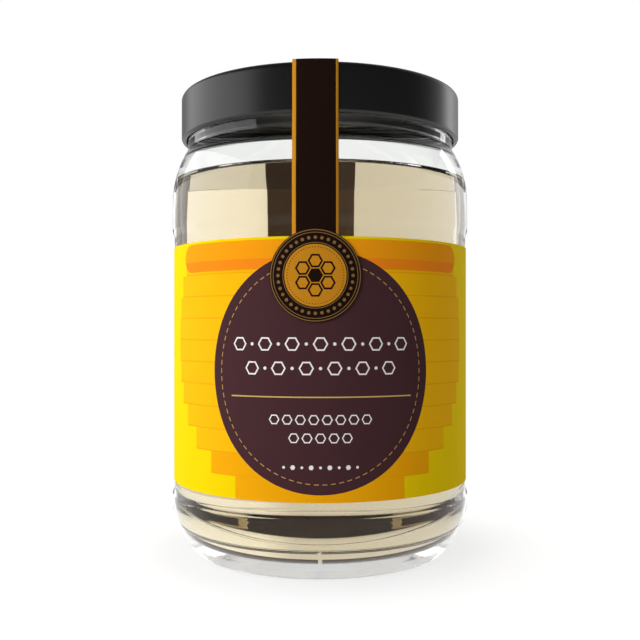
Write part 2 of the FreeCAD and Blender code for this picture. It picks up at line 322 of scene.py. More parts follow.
def turning_tree() -> bpy.types.GeometryNodeTree:
    """Build the tree that turns an outline once round the Z axis.

    Returns:
        A tree with the inputs Segments, Weld and Material.
    """
    tree = new_tree("Turned round the axis", (
        ("Segments", "NodeSocketInt"), ("Weld", "NodeSocketFloat"), ("Material", "NodeSocketMaterial")))
    given = add(tree, "NodeGroupInput")
    size = add(tree, "GeometryNodeAttributeDomainSize", {0: given.outputs["Geometry"]}, component="MESH")
    rows = size.outputs["Point Count"]
    columns = calc(tree, "ADD", given.outputs["Segments"], 1.0)
    grid = add(tree, "GeometryNodeMeshGrid", {"Vertices X": columns, "Vertices Y": rows})
    index = add(tree, "GeometryNodeInputIndex").outputs[0]
    row = calc(tree, "MODULO", index, rows)
    column = calc(tree, "FLOOR", calc(tree, "DIVIDE", index, rows))
    angle = calc(tree, "MULTIPLY", column, calc(tree, "DIVIDE", math.tau, given.outputs["Segments"]))
    position = add(tree, "GeometryNodeInputPosition")
    point = add(tree, "GeometryNodeSampleIndex", {
        "Geometry": given.outputs["Geometry"], "Value": position.outputs[0], "Index": row},
        data_type="FLOAT_VECTOR", domain="POINT")
    parts = add(tree, "ShaderNodeSeparateXYZ", {0: point.outputs[0]})
    upright = add(tree, "ShaderNodeCombineXYZ", {"X": parts.outputs["X"], "Z": parts.outputs["Z"]})
    turned = add(tree, "ShaderNodeVectorRotate", {"Vector": upright.outputs[0], "Angle": angle},
                 rotation_type="Z_AXIS")
    placed = add(tree, "GeometryNodeSetPosition", {
        "Geometry": grid.outputs["Mesh"], "Position": turned.outputs[0]})
    welded = add(tree, "GeometryNodeMergeByDistance", {
        "Geometry": placed.outputs[0], "Distance": given.outputs["Weld"]})
    smooth = add(tree, "GeometryNodeSetShadeSmooth", {"Geometry": welded.outputs[0]})
    whole = add(tree, "GeometryNodeRealizeInstances", {"Geometry": smooth.outputs[0]})
    dressed = add(tree, "GeometryNodeSetMaterial", {
        "Geometry": whole.outputs[0], "Material": given.outputs["Material"]})
    add(tree, "NodeGroupOutput", {0: dressed.outputs[0]})
    return tree


def motif_tree() -> bpy.types.GeometryNodeTree:
    """Build the tree that sets a printed motif along a flat path and bends the row round the jar.

    Returns:
        A tree with the inputs Motif, Count, Radius and Material; the path lies in the XZ plane.
    """
    tree = new_tree("Motifs along a path", (
        ("Motif", "NodeSocketObject"), ("Count", "NodeSocketInt"), ("Radius", "NodeSocketFloat"),
        ("Material", "NodeSocketMaterial")))
    given = add(tree, "NodeGroupInput")
    curve = add(tree, "GeometryNodeMeshToCurve", {"Mesh": given.outputs["Geometry"]})
    spots = add(tree, "GeometryNodeCurveToPoints", {
        "Curve": curve.outputs[0], "Count": given.outputs["Count"]}, mode="COUNT")
    motif = add(tree, "GeometryNodeObjectInfo", {"Object": given.outputs["Motif"]})
    facing = add(tree, "FunctionNodeAlignRotationToVector", {"Vector": spots.outputs["Tangent"]},
                 axis="X", pivot_axis="Y")
    placed = add(tree, "GeometryNodeInstanceOnPoints", {
        "Points": spots.outputs["Points"], "Instance": motif.outputs["Geometry"],
        "Rotation": facing.outputs[0]})
    whole = add(tree, "GeometryNodeRealizeInstances", {"Geometry": placed.outputs[0]})
    position = add(tree, "GeometryNodeInputPosition")
    parts = add(tree, "ShaderNodeSeparateXYZ", {0: position.outputs[0]})
    turn = calc(tree, "DIVIDE", parts.outputs["X"], given.outputs["Radius"])
    front = calc(tree, "SUBTRACT", parts.outputs["Y"], given.outputs["Radius"])
    upright = add(tree, "ShaderNodeCombineXYZ", {"Y": front, "Z": parts.outputs["Z"]})
    round_jar = add(tree, "ShaderNodeVectorRotate", {"Vector": upright.outputs[0], "Angle": turn},
                    rotation_type="Z_AXIS")
    bent_row = add(tree, "GeometryNodeSetPosition", {
        "Geometry": whole.outputs[0], "Position": round_jar.outputs[0]})
    realized = add(tree, "GeometryNodeRealizeInstances", {"Geometry": bent_row.outputs[0]})
    dressed = add(tree, "GeometryNodeSetMaterial", {
        "Geometry": realized.outputs[0], "Material": given.outputs["Material"]})
    add(tree, "NodeGroupOutput", {0: dressed.outputs[0]})
    return tree


# ------------------------------------------------------------------ finishes


def shader_tree(name: str) -> tuple[bpy.types.Material, bpy.types.NodeTree, bpy.types.Node]:
    """Start a material.

    Args:
        name: The material's name.

    Returns:
        The material, its tree and its output node.
    """
    material = bpy.data.materials.new(name)
    material.use_nodes = True
    material.node_tree.nodes.clear()
    output = add(material.node_tree, "ShaderNodeOutputMaterial")
    return material, material.node_tree, output


def grain(tree: bpy.types.NodeTree, size: float, detail: float = 2.0) -> bpy.types.Node:
    """Add noise on object coordinates.

    Args:
        tree: The material's tree.
        size: The grain's real size in metres.
        detail: How many finer layers it carries.

    Returns:
        The noise node.
    """
    place = add(tree, "ShaderNodeTexCoord")
    return add(tree, "ShaderNodeTexNoise", {
        "Vector": place.outputs["Object"], "Scale": 1 / size, "Detail": detail}, noise_dimensions="3D")


@dataclass(frozen=True)
class ContainerGlass:
    """Soda-lime glass, blown in a mould and fire-polished: clear, hard highlights, faint waves."""

    name: str = "Container glass, mould blown"
    tint: str = "#fdfefd"
    ior: float = 1.5
    coat: float = 0.0
    roughness: float = 0.01
    wave: float = 16 * MM
    wave_depth: float = 0.01 * MM

    def build(self) -> bpy.types.Material:
        """Make the material.

        Returns:
            The material.
        """
        material, tree, output = shader_tree(self.name)
        waves = grain(tree, self.wave, 0.0)
        bump = add(tree, "ShaderNodeBump", {
            "Height": waves.outputs["Fac"], "Strength": 1.0, "Distance": self.wave_depth})
        shader = add(tree, "ShaderNodeBsdfPrincipled", {
            "Base Color": linear(self.tint), "Roughness": self.roughness, "IOR": self.ior,
            "Transmission Weight": 1.0, "Coat Weight": self.coat, "Coat Roughness": self.roughness,
            "Normal": bump.outputs[0], "Coat Normal": bump.outputs[0]})
        tree.links.new(shader.outputs[0], output.inputs["Surface"])
        return material


@dataclass(frozen=True)
class ClearHoney:
    """Filtered acacia honey, settled and free of bubbles: a pale clear liquid that warms with depth."""

    name: str = "Acacia honey, filtered"
    ior: float = 1.49
    roughness: float = 0.01
    tint: str = "#d3bd7b"
    sheen: str = "#c89c68"
    density: float = 20.0

    def build(self) -> bpy.types.Material:
        """Make the material.

        Returns:
            The material.
        """
        material, tree, output = shader_tree(self.name)
        shader = add(tree, "ShaderNodeBsdfPrincipled", {
            "Base Color": WHITE, "Roughness": self.roughness, "IOR": self.ior,
            "Specular Tint": linear(self.sheen), "Transmission Weight": 1.0})
        depth = add(tree, "ShaderNodeVolumeAbsorption", {"Color": linear(self.tint), "Density": self.density})
        tree.links.new(shader.outputs[0], output.inputs["Surface"])
        tree.links.new(depth.outputs[0], output.inputs["Volume"])
        return material


@dataclass(frozen=True)
class MouldedPlastic:
    """Polypropylene, injection moulded in an eroded tool: black, satin, with a fine even grain.

    The grain is drawn coarser than the tool's own, which is too fine to show.
    """

    name: str = "Polypropylene, injection moulded"
    colour: str = "#131314"
    roughness: float = 0.34
    unevenness: float = 0.03
    cloud_size: float = 9 * MM
    grain_size: float = 0.35 * MM
    grain_depth: float = 0.006 * MM

    def build(self) -> bpy.types.Material:
        """Make the material.

        Returns:
            The material.
        """
        material, tree, output = shader_tree(self.name)
        fine = grain(tree, self.grain_size)
        broad = grain(tree, self.cloud_size)
        gloss = ramp(tree, broad.outputs["Fac"], (0.0, 1.0),
                     (self.roughness - self.unevenness, self.roughness + self.unevenness))
        bump = add(tree, "ShaderNodeBump", {
            "Height": fine.outputs["Fac"], "Strength": 1.0, "Distance": self.grain_depth})
        shader = add(tree, "ShaderNodeBsdfPrincipled", {
            "Base Color": linear(self.colour), "Roughness": gloss, "Normal": bump.outputs[0]})
        tree.links.new(shader.outputs[0], output.inputs["Surface"])
        return material


@dataclass(frozen=True)
class Ink:
    """One printed colour on film or paper: flat, with the faint mottle and grain of its stock.

    The grain is drawn coarser than real fibres and film haze, which are too fine to show.
    """

    name: str
    colour: str
    roughness: float = 0.7
    specular: float = 0.02
    mottle: float = 0.03
    mottle_size: float = 5 * MM
    stock_grain: float = 0.4 * MM
    stock_depth: float = 0.004 * MM

    def build(self) -> bpy.types.Material:
        """Make the material, or find it where another sheet made it.

        Returns:
            The material.
        """
        known = bpy.data.materials.get(self.name)
        if known:
            return known
        material, tree, output = shader_tree(self.name)
        cloud = grain(tree, self.mottle_size, 3.0)
        level = ramp(tree, cloud.outputs["Fac"], (0.0, 1.0), (1 - self.mottle, 1 + self.mottle))
        colour = add(tree, "ShaderNodeVectorMath", {0: linear(self.colour)[:3], "Scale": level},
                     operation="SCALE")
        fine = grain(tree, self.stock_grain)
        bump = add(tree, "ShaderNodeBump", {
            "Height": fine.outputs["Fac"], "Strength": 1.0, "Distance": self.stock_depth})
        shader = add(tree, "ShaderNodeBsdfPrincipled", {
            "Base Color": colour.outputs[0], "Roughness": self.roughness, "Specular IOR Level": self.specular,
            "Normal": bump.outputs[0]})
        tree.links.new(shader.outputs[0], output.inputs["Surface"])
        return material


Finish = ContainerGlass | ClearHoney | MouldedPlastic | Ink


class LabelInk(Enum):
    """The printed colours of the wrap label, and its back, which is coloured in painted shade."""

    GROUND = Ink("Label film, sunflower yellow print", "#ffdb06")
    CELL = Ink("Label film, deep yellow print", "#fdca08")
    BAND = Ink("Label film, amber print", "#ffc010")
    BAND_LOW = Ink("Label film, deep amber print", "#fdb00c")
    BAND_LINE = Ink("Label film, orange line print", "#f9ab0d")
    CROWN = Ink("Label film, light orange print", "#ffa314")
    CROWN_LOW = Ink("Label film, orange print", "#ff8f1c")
    DARK = Ink("Label film, aubergine print", "#4b2f33")
    WHITE = Ink("Label film, white print", "#fbf7f4")
    GOLD = Ink("Label film, pale gold print", "#d9b46c")
    STITCH = Ink("Label film, dull gold print", "#c09a5c")
    # Painted shade: the label's back is a mid amber-brown that stands for the shade it lies in against the
    # glass, in place of the stock's own paler colour.
    BACK = Ink("Label film, back in painted shade", "#a8743a")


class PaperInk(Enum):
    """The printed colours and the stock of the strip and the seal."""

    BLACK_BROWN = Ink("Seal paper, black-brown print", "#21130f", stock_depth=0.008 * MM)
    GOLD = Ink("Seal paper, gold print", "#cf8d22", stock_depth=0.008 * MM)
    DIM_GOLD = Ink("Seal paper, dim gold print", "#8a6a3c", stock_depth=0.008 * MM)
    AMBER = Ink("Seal paper, amber print", "#cd8a20", stock_depth=0.008 * MM)
    STOCK = Ink("Seal paper, bare stock", "#5e4026", stock_depth=0.008 * MM)


# ------------------------------------------------------------------ flat printing


@dataclass(frozen=True)
class Patch:
    """One printed shape: its ink and its corners, anticlockwise, in flat metres."""

    ink: Enum
    corners: tuple[Flat, ...]


def oval(middle: Flat, half_width: float, half_height: float, steps: int = 96) -> tuple[Flat, ...]:
    """Trace an ellipse.

    Args:
        middle: Its middle.
        half_width: Half of its width.
        half_height: Half of its height.
        steps: How many points; six make a hexagon.

    Returns:
        Its points, anticlockwise.
    """
    return tuple((middle[0] + half_width * math.cos(math.tau * step / steps),
                  middle[1] + half_height * math.sin(math.tau * step / steps)) for step in range(steps))


def block(left: float, low: float, right: float, high: float) -> tuple[Flat, ...]:
    """Return the corners of an upright rectangle, anticlockwise."""
    return (left, low), (right, low), (right, high), (left, high)


def cell_outline(ink: Enum, ground: Enum, middle: Flat, size: float, line: float) -> list[Patch]:
    """Draw a hexagon as a line.

    Args:
        ink: The line's ink.
        ground: The ink inside it.
        middle: The hexagon's middle.
        size: From its middle to a corner.
        line: How far the inner corners stand in.

    Returns:
        The two printed shapes.
    """
    return [Patch(ink, oval(middle, size, size, 6)), Patch(ground, oval(middle, size - line, size - line, 6))]


@dataclass
class PrintedSheet:
    """A thin sheet bent round the jar, whose face is cut along every printed shape.

    The cut is exact, so each ink is a field of faces of its own and nothing is stacked.
    """

    name: str
    outline: tuple[Flat, ...]
    patches: list[Patch]
    front: float
    back: float
    # The ink of the back and the edges; for the wrap label this is the back coloured in painted shade.
    stock: Enum
    column: float = 1.2 * MM

    def build(self) -> bpy.types.Object:
        """Cut the flat sheet, bend it and give it a back and edges.

        Returns:
            The sheet's object, with one material for each ink.
        """
        points, faces, sources = self._cut()
        inks = list(dict.fromkeys(patch.ink for patch in self.patches)) + [self.stock]
        count = len(points)
        places = [bent(x, z, self.front) for x, z in points]
        places += [bent(x, z, self.back) for x, z in points]
        edges = self._border(faces)
        all_faces = [tuple(face) for face in faces]
        all_faces += [tuple(corner + count for corner in reversed(face)) for face in faces]
        all_faces += [(there, here, here + count, there + count) for here, there in edges]
        mesh = mesh_from(self.name, places, all_faces)
        for ink in inks:
            mesh.materials.append(ink.value.build())
        shown = [inks.index(self.patches[source].ink) for source in sources]
        mesh.polygons.foreach_set("material_index", shown + [len(inks) - 1] * (len(all_faces) - len(shown)))
        self._unwrap(mesh, points)
        self._smooth(mesh, len(faces))
        return link_object(self.name, mesh)

    def _cut(self) -> tuple[list[Flat], list[list[int]], list[int]]:
        """Cut the sheet along all outlines and along upright lines.

        Returns:
            The points, the faces, and the number of each face's topmost patch.
        """
        points, loops, cuts = [], [], []
        for patch in self.patches:
            loops.append(list(range(len(points), len(points) + len(patch.corners))))
            points += [Vector(corner) for corner in patch.corners]
        left, right = min(x for x, _ in self.outline), max(x for x, _ in self.outline)
        low, high = min(z for _, z in self.outline), max(z for _, z in self.outline)
        for number in range(1, math.ceil((right - left) / self.column)):
            cuts.append((len(points), len(points) + 1))
            points += [Vector((left + number * self.column, end)) for end in (low, high)]
        result = delaunay_2d_cdt(points, cuts, loops, 1, 1e-9)
        places, faces, origins = result[0], result[2], result[5]
        kept = [(face, max(origin)) for face, origin in zip(faces, origins) if origin and 0 in origin]
        return [tuple(place) for place in places], [face for face, _ in kept], [source for _, source in kept]

    @staticmethod
    def _border(faces: Sequence[Sequence[int]]) -> list[tuple[int, int]]:
        """Find the edges that only one face uses.

        Args:
            faces: The faces, as numbers of points.

        Returns:
            Those edges, in their face's direction.
        """
        seen = {(face[index - 1], face[index]) for face in faces for index in range(len(face))}
        return [(here, there) for here, there in sorted(seen) if (there, here) not in seen]

    @staticmethod
    def _unwrap(mesh: bpy.types.Mesh, points: Sequence[Flat]) -> None:
        """Give the mesh a UV map of the flat sheet, scaled to the unit square.

        Args:
            mesh: The sheet's mesh.
            points: The flat sheet's points.
        """
        left, low = min(x for x, _ in points), min(z for _, z in points)
        span = max(max(x for x, _ in points) - left, max(z for _, z in points) - low)
        layer = mesh.uv_layers.new(name="Sheet")
        for loop in mesh.loops:
            x, z = points[loop.vertex_index % len(points)]
            layer.data[loop.index].uv = ((x - left) / span, (z - low) / span)

    @staticmethod
    def _smooth(mesh: bpy.types.Mesh, shown: int) -> None:
        """Smooth the face and the back, with normals straight from the axis, and keep the cut edges sharp.

        Args:
            mesh: The sheet's mesh.
            shown: How many faces its front has.
        """
        normals = []
        for polygon in mesh.polygons:
            polygon.use_smooth = True
            for loop in polygon.loop_indices:
                vertex = mesh.loops[loop].vertex_index
                place = mesh.vertices[vertex].co
                out = Vector((place.x, place.y, 0)).normalized()
                if polygon.index >= 2 * shown:
                    normals.append(polygon.normal.copy())
                else:
                    normals.append(out if polygon.index < shown else -out)
        mesh.normals_split_custom_set(normals)


# ------------------------------------------------------------------ the jar's parts


@dataclass
class JarForm:
    """The sizes that the glass and the honey share, in metres; the main ones come from the frame."""

    bulge: float
    rim: float
    floor: float
    wall: float
    fill: float
    label_radius: float
    heel_height: float = 11.8 * MM
    heel_rounding: float = 12.6 * MM
    heel_slope: float = math.radians(32)
    toe_rounding: float = 3.9 * MM
    floor_rounding: float = 7.4 * MM
    foot_inner: float = 20.0 * MM
    punt_rise: float = 1.4 * MM
    bead_top: float = 13.5 * MM
    panel_low: float = 14.5 * MM
    panel_high: float = 70.2 * MM
    band_low: float = 71.9 * MM
    shoulder: float = 78.0 * MM
    shoulder_rounding: float = 22.0 * MM
    shoulder_sweep: float = 22.5 * MM
    panel_depth: float = 0.45 * MM
    neck: float = 30.1 * MM
    neck_top: float = 93.19 * MM
    finish: float = 28.9 * MM
    mouth: float = 26.5 * MM
    step_rounding: float = 0.7 * MM
    edge_rounding: float = 0.4 * MM
    rim_rounding: float = 0.9 * MM
    inner_shoulder: float = 76.0 * MM
    inner_shoulder_rounding: float = 40 * MM
    inner_shoulder_top: float = 90.2 * MM
    extra_wall: float = 0.45 * MM
    inner_step: float = 30.65 * MM
    inner_step_low: float = 87.4 * MM

    def heel(self, inset: float, floor: float, toe_rounding: float) -> list[Corner]:
        """Return the two corners of the heel's cone.

        Args:
            inset: How far the wanted surface lies inside the outer glass.
            floor: The height of the flat that the cone ends on.
            toe_rounding: The rounding there.

        Returns:
            The corner at the floor and the corner at the side.
        """
        slope = math.tan(self.heel_slope)
        outer_corner = self.heel_height - self.heel_rounding * math.tan(self.heel_slope / 2)
        base = self.bulge - outer_corner * slope - inset / math.cos(self.heel_slope)
        side = self.bulge - inset
        return [Corner(base + floor * slope, floor, toe_rounding),
                Corner(side, (side - base) / slope, self.heel_rounding - inset)]

    def outside(self) -> list[Flat]:
        """Trace the outer outline.

        Returns:
            Points as (radius, height), from the middle of the base up to the rim.
        """
        dome = [Corner(self.foot_inner * share, self.punt_rise * (1 - share ** 2))
                for share in (0, 0.25, 0.5, 0.75)]
        shoulder_turn = math.acos(1 - (self.bulge - self.neck) / self.shoulder_sweep)
        shoulder_corner = self.shoulder + self.shoulder_sweep * math.tan(shoulder_turn / 2)
        neck_corner = shoulder_corner + (self.bulge - self.neck) / math.tan(shoulder_turn)
        return rounded([
            *dome,
            Corner(self.foot_inner, 0, self.edge_rounding),
            *self.heel(0, 0, self.toe_rounding),
            Corner(self.bulge, self.bead_top, self.step_rounding),
            Corner(self.bulge - self.panel_depth, self.panel_low, self.step_rounding),
            Corner(self.bulge - self.panel_depth, self.panel_high, self.step_rounding),
            Corner(self.bulge, self.band_low, self.step_rounding),
            Corner(self.bulge, shoulder_corner, self.shoulder_rounding),
            Corner(self.neck, neck_corner, self.edge_rounding),
            Corner(self.neck, self.neck_top, self.edge_rounding),
            Corner(self.finish, self.neck_top, 0.2 * MM),
            Corner(self.finish, self.rim, self.rim_rounding),
            Corner((self.finish + self.mouth) / 2, self.rim),
        ])

    def inside(self, sink: float = 0.0) -> list[Flat]:
        """Return the inner outline, from the middle of the floor up to the rim.

        Args:
            sink: How far to move it into the glass.

        Returns:
            Points as (radius, height).
        """
        inset = self.wall + self.extra_wall - sink
        side, mouth = self.bulge - inset, self.mouth + sink
        return rounded([
            Corner(0, self.floor - sink),
            *self.heel(inset, self.floor - sink, self.floor_rounding),
            Corner(side, self.inner_shoulder, self.inner_shoulder_rounding),
            Corner(self.inner_step + sink, self.inner_step_low, 1.6 * MM),
            Corner(mouth, self.inner_shoulder_top, 1.2 * MM),
            Corner(mouth, self.rim, self.rim_rounding),
            Corner((self.finish + self.mouth) / 2, self.rim),
        ])


@dataclass
class Turned:
    """A piece that is turned from an outline."""

    name: str
    outline: list[Flat]
    finish: Finish
    tree: bpy.types.GeometryNodeTree
    segments: int = 256

    def build(self) -> bpy.types.Object:
        """Turn the outline and face it outwards.

        Returns:
            The finished object.
        """
        points = [(radius, 0, height) for radius, height in self.outline]
        start = mesh_from(f"{self.name}_outline", points, (), [(i, i + 1) for i in range(len(points) - 1)])
        piece = grown(self.name, start, self.tree, {
            "Segments": self.segments, "Weld": 0.002 * MM, "Material": self.finish.build()})
        face_outwards(piece.data)
        return piece


def face_outwards(mesh: bpy.types.Mesh) -> None:
    """Turn a closed mesh's faces outwards if its volume comes out negative.

    Args:
        mesh: The mesh.
    """
    volume = 0.0
    mesh.calc_loop_triangles()
    for triangle in mesh.loop_triangles:
        a, b, c = (mesh.vertices[index].co for index in triangle.vertices)
        volume += a.dot(b.cross(c)) / 6
    if volume < 0:
        mesh.flip_normals()


def dress_between(piece: bpy.types.Object, low: float, high: float, finish: Finish) -> None:
    """Give the faces of a turned piece between two heights another finish.

    Args:
        piece: The piece.
        low: The lower height.
        high: The upper height.
        finish: What to dress them in.
    """
    piece.data.materials.append(finish.build())
    slot = len(piece.data.materials) - 1
    for face in piece.data.polygons:
        if low < face.center.z < high:
            face.material_index = slot


@dataclass
class Cap:
    """The screw cap: a plate with rounded edges, a skirt with a rolled foot, hollow beneath."""

    radius: float
    low: float
    top: float
    wall: float = 1.1 * MM
    plate: float = 1.4 * MM
    top_rounding: float = 1.2 * MM
    foot_rounding: float = 0.8 * MM

    def outline(self) -> list[Flat]:
        """Trace the cap's outline.

        Returns:
            Points as (radius, height), from the middle of the underside round to the middle of the top.
        """
        inner = self.radius - self.wall
        return rounded([
            Corner(0, self.top - self.plate),
            Corner(inner, self.top - self.plate, 0.5 * MM),
            Corner(inner, self.low, 0.25 * MM),
            Corner(self.radius, self.low, self.foot_rounding),
            Corner(self.radius, self.top, self.top_rounding),
            Corner(0, self.top),
        ])


@dataclass(frozen=True)
class CellRow:
    """A row of hexagons drawn in lines, with a dot between two of them where it has a size."""

    count: int
    height: float
    size: float
    pitch: float
    line: float
    dot: float = 0.0


@dataclass
class WrapLabel:
    """The wrap label: a yellow ground, a barrel of amber bands, and a dark oval with its ornaments."""

    radius: float
    low: float
    high: float
    glass: float
    gap: float = 1.5 * MM
    oval_middle: Flat = (0.1 * MM, 41.7 * MM)
    oval_half: Flat = (23.1 * MM, 23.7 * MM)
    band_height: float = 4.45 * MM
    band_line: float = 0.24 * MM
    lattice: float = 3.6 * MM
    cell_size: float = 3.36 * MM
    cell_line: float = 0.45 * MM
    cells_from: float = 46 * MM
    bar_reach: float = 31 * MM
    bar_gaps: Flat = (0.6 * MM, 0.5 * MM)
    bar_split: float = 0.42
    rule: tuple[float, ...] = (-18.4 * MM, 36.72 * MM, 19.0 * MM, 36.98 * MM)
    rows: tuple[CellRow, ...] = (
        CellRow(7, 47.1 * MM, 1.5 * MM, 5.5 * MM, 0.34 * MM, 0.36 * MM),
        CellRow(6, 42.4 * MM, 1.5 * MM, 5.5 * MM, 0.34 * MM, 0.36 * MM),
        CellRow(8, 32.5 * MM, 1.08 * MM, 2.6 * MM, 0.26 * MM),
        CellRow(5, 28.95 * MM, 1.08 * MM, 2.6 * MM, 0.26 * MM))
    marks: int = 9
    mark_height: float = 23.3 * MM
    mark_pitch: float = 1.8 * MM
    mark_sizes: Flat = (0.3 * MM, 0.5 * MM)
    stitch_inset: float = 2.0 * MM
    stitch_half: Flat = (0.48 * MM, 0.09 * MM)
    stitch_count: int = 82
    band_halves: tuple[float, ...] = (17.5, 24.0, 29.0, 32.6, 35.0, 36.4, 37.0, 37.0, 36.4, 35.2, 33.4)

    def patches(self) -> list[Patch]:
        """Collect the print.

        Returns:
            Every printed shape in the order of printing, the ground first.
        """
        half = math.pi * self.radius - self.gap / 2
        ground = Patch(LabelInk.GROUND, block(-half, self.low, half, self.high))
        return [ground, *self._cells(half), *self._bands(), *self._crown(), *self._field()]

    def _cells(self, half: float) -> list[Patch]:
        """Return the tone-on-tone honeycomb on the label's sides and back.

        Args:
            half: Half of the label's length.

        Returns:
            The printed shapes.
        """
        rise = self.lattice * math.sqrt(3) / 2
        cells = []
        for row in range(int((self.high - self.low) / rise) + 1):
            for column in range(6):
                x = self.cells_from + (column + 0.5 * (row % 2)) * 3 * self.lattice
                if x + self.cell_size < half:
                    for side in (-1, 1):
                        middle = (side * x, self.low + (row + 0.4) * rise)
                        cells += cell_outline(LabelInk.CELL, LabelInk.GROUND, middle, self.cell_size,
                                              self.cell_line)
        return cells

    def _bands(self) -> list[Patch]:
        """Draw the amber bands, each with a darker line along its foot.

        Returns:
            The printed shapes, from the lowest band up.
        """
        bands = []
        for number, reach in enumerate(self.band_halves):
            low = self.low + number * self.band_height
            left, right = -reach * MM, reach * MM
            ink = LabelInk.BAND_LOW if number < 2 else LabelInk.BAND
            bands.append(Patch(ink, block(left, low, right, low + self.band_height)))
            if number:
                bands.append(Patch(LabelInk.BAND_LINE, block(left, low, right, low + self.band_line)))
        return bands

    def _crown(self) -> list[Patch]:
        """Draw the two-tone orange bar above the bands.

        Returns:
            The bar and its darker lower part.
        """
        low = self.low + (len(self.band_halves) - 1) * self.band_height + self.bar_gaps[0]
        high = self.high - self.bar_gaps[1]
        split = low + self.bar_split * (high - low)
        end = (high - low) / 2
        turns = [math.pi * step / 12 for step in range(13)]
        right = [(self.bar_reach + end * math.sin(turn), low + end - end * math.cos(turn)) for turn in turns]
        left = [(-x, 2 * (low + end) - z) for x, z in right]
        bar = tuple(right + left)
        lower = tuple(point for point in bar if point[1] <= split)
        return [Patch(LabelInk.CROWN, bar), Patch(LabelInk.CROWN_LOW, lower)]

    def _field(self) -> list[Patch]:
        """Draw the dark oval, its gold rule and its white cells and marks.

        Returns:
            The printed shapes.
        """
        x = self.oval_middle[0]
        shapes = [Patch(LabelInk.DARK, oval(self.oval_middle, *self.oval_half, 144)),
                  Patch(LabelInk.GOLD, block(*self.rule))]
        for row in self.rows:
            for number in range(row.count):
                middle = (x + (number - (row.count - 1) / 2) * row.pitch, row.height)
                shapes += cell_outline(LabelInk.WHITE, LabelInk.DARK, middle, row.size, row.line)
                if number and row.dot:
                    spot = (middle[0] - row.pitch / 2, middle[1])
                    shapes.append(Patch(LabelInk.WHITE, oval(spot, row.dot, row.dot, 6)))
        for number in range(self.marks):
            middle = (x + (number - self.marks // 2) * self.mark_pitch, self.mark_height)
            size = self.mark_sizes[number % 2]
            shapes.append(Patch(LabelInk.WHITE, oval(middle, size, size, 6)))
        return shapes

    def build(self) -> bpy.types.Object:
        """Make the printed label."""
        patches = self.patches()
        return PrintedSheet("wrap_label", patches[0].corners, patches, self.radius, self.glass,
                            LabelInk.BACK).build()

    def stitches(self, tree: bpy.types.GeometryNodeTree) -> bpy.types.Object:
        """Make the dashed gold line inside the oval.

        Args:
            tree: The tree that sets motifs along a path.

        Returns:
            The line's object.
        """
        loop = oval(self.oval_middle, *(half - self.stitch_inset for half in self.oval_half), 144)
        length, height = self.stitch_half
        return motif_row("oval_stitches", loop, block(-length, -height, length, height), 0.02 * MM,
                         self.stitch_count, self.radius, LabelInk.STITCH, tree)


def motif_row(name: str, loop: Sequence[Flat], motif: Sequence[Flat], thickness: float, count: int,
              radius: float, ink: Enum, tree: bpy.types.GeometryNodeTree) -> bpy.types.Object:
    """Set a small flat motif along a closed path on the jar.

    Args:
        name: The row's name.
        loop: The path's points, flat.
        motif: The motif's corners about its own middle, anticlockwise, flat.
        thickness: How far the ink stands off the sheet.
        count: How many motifs.
        radius: The sheet's radius.
        ink: The ink of the row.
        tree: The tree that sets motifs along a path.

    Returns:
        The row's object.
    """
    size = len(motif)
    points = [(x, 0.0, z) for x, z in motif] + [(x, -thickness, z) for x, z in motif]
    faces = [tuple(range(size, 2 * size)), tuple(reversed(range(size)))]
    faces += [(here, (here + 1) % size, size + (here + 1) % size, size + here) for here in range(size)]
    shape = link_object(f"{name}_motif", mesh_from(f"{name}_motif", points, faces))
    path = mesh_from(f"{name}_path", [(x, 0.0, z) for x, z in loop], (),
                     [(i, (i + 1) % len(loop)) for i in range(len(loop))])
    row = grown(name, path, tree, {
        "Motif": shape, "Count": count, "Radius": radius, "Material": ink.value.build()})
    bpy.data.objects.remove(shape)
    return row


